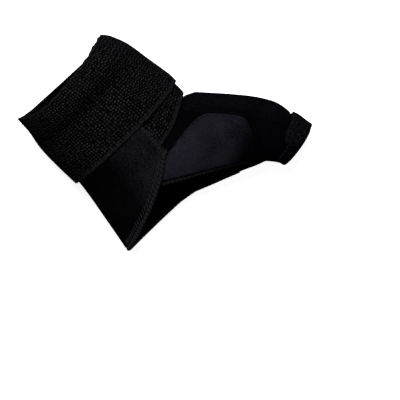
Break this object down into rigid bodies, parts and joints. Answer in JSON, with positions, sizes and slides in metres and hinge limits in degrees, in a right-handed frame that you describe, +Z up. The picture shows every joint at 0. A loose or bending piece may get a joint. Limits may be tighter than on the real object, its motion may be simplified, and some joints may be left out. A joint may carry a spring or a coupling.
{
  "type": "wrist and thumb splint",
  "caption": "Soft black right hand splint: a neoprene wrap with a thumb sleeve, stays, a knitted elastic wrist strap with a hook end, and a small thumb strap.",
  "frame": {"origin": "under the middle of the bounding box, on the surface that the splint rests on palm down", "axes": "+X from the forearm to the fingers, +Y to the thumb side, +Z up through the back of the hand"},
  "size_m": [0.1222, 0.1208, 0.0524],
  "materials": {
    "neoprene": "matte jersey faced neoprene foam",
    "elastic": "knitted elastic webbing, matte",
    "overlock": "overlocked thread edge, matte",
    "thread": "polyester thread, slight sheen",
    "gusset": "thin stretch neoprene, matte",
    "cover": "smooth jersey patch, matte",
    "stay": "flat spring steel",
    "cap": "dipped plastic",
    "strap": "woven nylon tape, matte",
    "hook": "nylon hook tape, matte"
  },
  "bodies": {
    "wrap": {"hand_wrap": "neoprene", "wrist_elastic": "elastic", "wrap_overlock": "overlock", "anchor_stitches": "thread", "thumb_gusset": "gusset"},
    "thumb": {"thumb_back_panel": "neoprene", "thumb_palm_panel": "neoprene", "thumb_patch": "cover", "back_stay_cover": "neoprene", "palm_stay_cover": "neoprene", "back_stay": "stay", "palm_stay": "stay", "stay_caps": "cap", "patch_stitches": "thread", "thumb_hem": "overlock", "thumb_overlock": "overlock", "thumb_strap": "strap", "thumb_strap_bartack": "thread"},
    "wrist_tab": {"wrist_strap_end": "elastic", "wrist_hook": "hook", "strap_end_stitches": "thread"},
    "thumb_tab": {"thumb_strap_end": "strap", "thumb_hook": "hook"}
  },
  "joints": [
    {"name": "thumb_flex", "type": "hinge", "parent": "wrap", "child": "thumb", "pos_m": [0.00453, -0.00695, 0.03056], "axis": [0.3491, -0.8775, 0.3288], "range_deg": [-5, 5], "stiffness_Nm_per_rad": 1, "deforming": ["thumb_gusset"]},
    {"name": "wrist_tab_peel", "type": "hinge", "parent": "wrap", "child": "wrist_tab", "pos_m": [-0.04085, 0.01603, 0.02497], "axis": [0.9718, 0.2356, 0.0036], "range_deg": [0, 95]},
    {"name": "thumb_tab_peel", "type": "hinge", "parent": "thumb", "child": "thumb_tab", "pos_m": [0.04534, 0.05801, 0.0113], "axis": [-0.938, -0.3459, 0.0239], "range_deg": [0, 90]}
  ]
}
